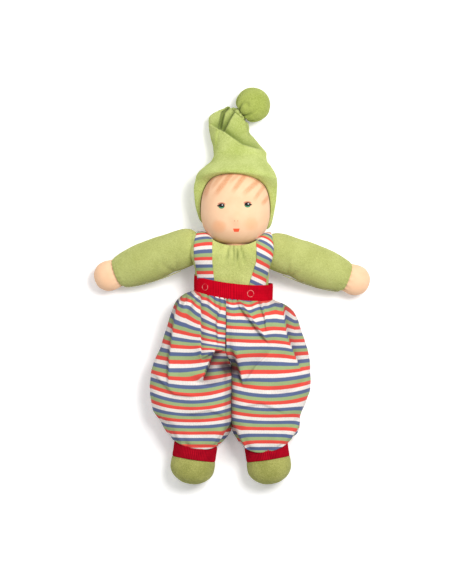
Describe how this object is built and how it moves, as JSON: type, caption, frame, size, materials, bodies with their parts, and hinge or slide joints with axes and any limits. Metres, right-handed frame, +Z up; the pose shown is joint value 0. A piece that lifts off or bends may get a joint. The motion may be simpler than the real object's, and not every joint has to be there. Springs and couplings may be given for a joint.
{
  "type": "stuffed doll",
  "caption": "Soft stuffed doll lying on its back, with a pointed bobble hat, ball-jointed sewn arms and legs, and striped bloomers whose shoulder straps close with ring snaps.",
  "frame": {"origin": "on the surface the doll lies on, under the middle of the whole doll's bounding box", "axes": "+X towards the right in a view from above, +Y from the feet towards the hat, +Z up out of the belly and the face"},
  "size_m": [0.2498, 0.3584, 0.0648],
  "materials": {
    "velour": "soft light green cotton velour with a short pile",
    "skin_jersey": "fine skin-coloured cotton jersey",
    "wool_stuffing": "loose carded wool, pressed firm",
    "striped_jersey": "jersey with narrow red, white, blue and green cross stripes",
    "rib_knit": "crimson ribbed knit",
    "thread": "strong matt sewing thread",
    "snap_steel": "bright plated spring snap"
  },
  "bodies": {
    "body": {"torso_cover": "velour", "torso_stuffing": "wool_stuffing", "waistband": "rib_knit", "left_trouser_half": "striped_jersey", "right_trouser_half": "striped_jersey", "left_strap": "striped_jersey", "right_strap": "striped_jersey", "left_hip_seam": "thread", "right_hip_seam": "thread", "left_snap_ring": "snap_steel", "left_snap_socket": "snap_steel", "left_snap_stud": "snap_steel", "left_snap_back_ring": "snap_steel", "right_snap_ring": "snap_steel", "right_snap_socket": "snap_steel", "right_snap_stud": "snap_steel", "right_snap_back_ring": "snap_steel"},
    "neck": {"neck_tie": "thread"},
    "head": {"head_core": "wool_stuffing", "head_skin": "skin_jersey", "eye_line_tie": "thread"},
    "left_shoulder": {"left_armhole_seam": "thread"},
    "left_arm": {"left_sleeve": "velour", "left_arm_stuffing": "wool_stuffing", "left_hand": "skin_jersey"},
    "right_shoulder": {"right_armhole_seam": "thread"},
    "right_arm": {"right_sleeve": "velour", "right_arm_stuffing": "wool_stuffing", "right_hand": "skin_jersey"},
    "left_leg": {"left_leg_cover": "velour", "left_leg_stuffing": "wool_stuffing", "left_ankle_cuff": "rib_knit"},
    "right_leg": {"right_leg_cover": "velour", "right_leg_stuffing": "wool_stuffing", "right_ankle_cuff": "rib_knit"},
    "hat": {"hat": "velour", "hat_tie": "thread"},
    "pompom": {"pompom": "velour", "pompom_stuffing": "wool_stuffing"}
  },
  "joints": [
    {"name": "head_turn", "type": "hinge", "parent": "body", "child": "neck", "pos_m": [0.003, 0.0334, 0.0338], "axis": [0, 1, 0], "range_deg": [-30, 30]},
    {"name": "head_nod", "type": "hinge", "parent": "neck", "child": "head", "pos_m": [0.003, 0.0334, 0.0338], "axis": [1, 0, 0], "range_deg": [-8, 8]},
    {"name": "left_arm_raise", "type": "hinge", "parent": "body", "child": "left_shoulder", "pos_m": [-0.04925, 0.03138, 0.025], "axis": [0, 0, -1], "range_deg": [-25, 55]},
    {"name": "left_arm_swing", "type": "hinge", "parent": "left_shoulder", "child": "left_arm", "pos_m": [-0.04925, 0.03138, 0.025], "axis": [-0.342, 0.9397, 0], "range_deg": [-10, 45]},
    {"name": "right_arm_raise", "type": "hinge", "parent": "body", "child": "right_shoulder", "pos_m": [0.04925, 0.02742, 0.025], "axis": [0, 0, 1], "range_deg": [-25, 55]},
    {"name": "right_arm_swing", "type": "hinge", "parent": "right_shoulder", "child": "right_arm", "pos_m": [0.04925, 0.02742, 0.025], "axis": [-0.342, -0.9397, 0], "range_deg": [-10, 45]},
    {"name": "left_hip", "type": "hinge", "parent": "body", "child": "left_leg", "pos_m": [-0.0215, -0.0694, 0.02], "axis": [-1, 0, 0], "range_deg": [-10, 90], "deforming": ["left_trouser_half"]},
    {"name": "right_hip", "type": "hinge", "parent": "body", "child": "right_leg", "pos_m": [0.0195, -0.0694, 0.02], "axis": [-1, 0, 0], "range_deg": [-10, 90], "deforming": ["right_trouser_half"]},
    {"name": "hat_pull_off", "type": "slide", "parent": "head", "child": "hat", "axis": [0, 1, 0], "range_m": [0, 0.09]},
    {"name": "pompom_tilt", "type": "hinge", "parent": "hat", "child": "pompom", "pos_m": [0.00903, 0.15592, 0.015], "axis": [0.6, -0.8, 0], "range_deg": [-12, 12]}
  ]
}
